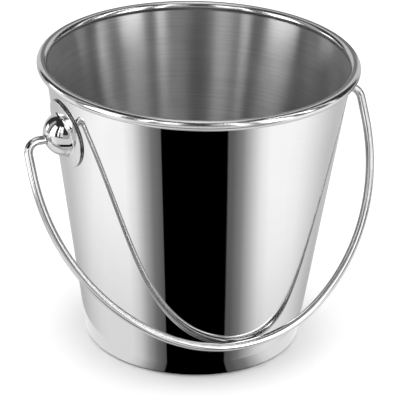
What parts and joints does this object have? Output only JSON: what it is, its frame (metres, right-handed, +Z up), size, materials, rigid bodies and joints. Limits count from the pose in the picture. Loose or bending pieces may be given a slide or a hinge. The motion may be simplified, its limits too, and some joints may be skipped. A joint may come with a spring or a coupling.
{
  "type": "milk pail",
  "caption": "Small tapered steel pail with a curled rim, two domed ears under the rim and a wire bail that swings from lying on the front over the mouth to the back.",
  "frame": {"origin": "centre of the base, on the surface the pail stands on", "axes": "+Z up out of the mouth; +X from the left ear to the right ear, along the axis the bail swings about; -Y the side the bail hangs on"},
  "size_m": [0.1948, 0.165, 0.154],
  "materials": {
    "polished_steel": "stainless steel, mirror polished outside and satin inside",
    "ear_steel": "stainless steel, pressed and polished",
    "wire_steel": "stainless steel wire, bright drawn"
  },
  "bodies": {
    "pail": {"pail_body": "polished_steel", "ear_left": "ear_steel", "ear_right": "ear_steel"},
    "bail": {"bail": "wire_steel"}
  },
  "joints": [
    {"name": "bail_swing", "type": "hinge", "parent": "pail", "child": "bail", "pos_m": [0, 0, 0.1231], "axis": [-1, 0, 0], "range_deg": [0, 298.8]}
  ]
}
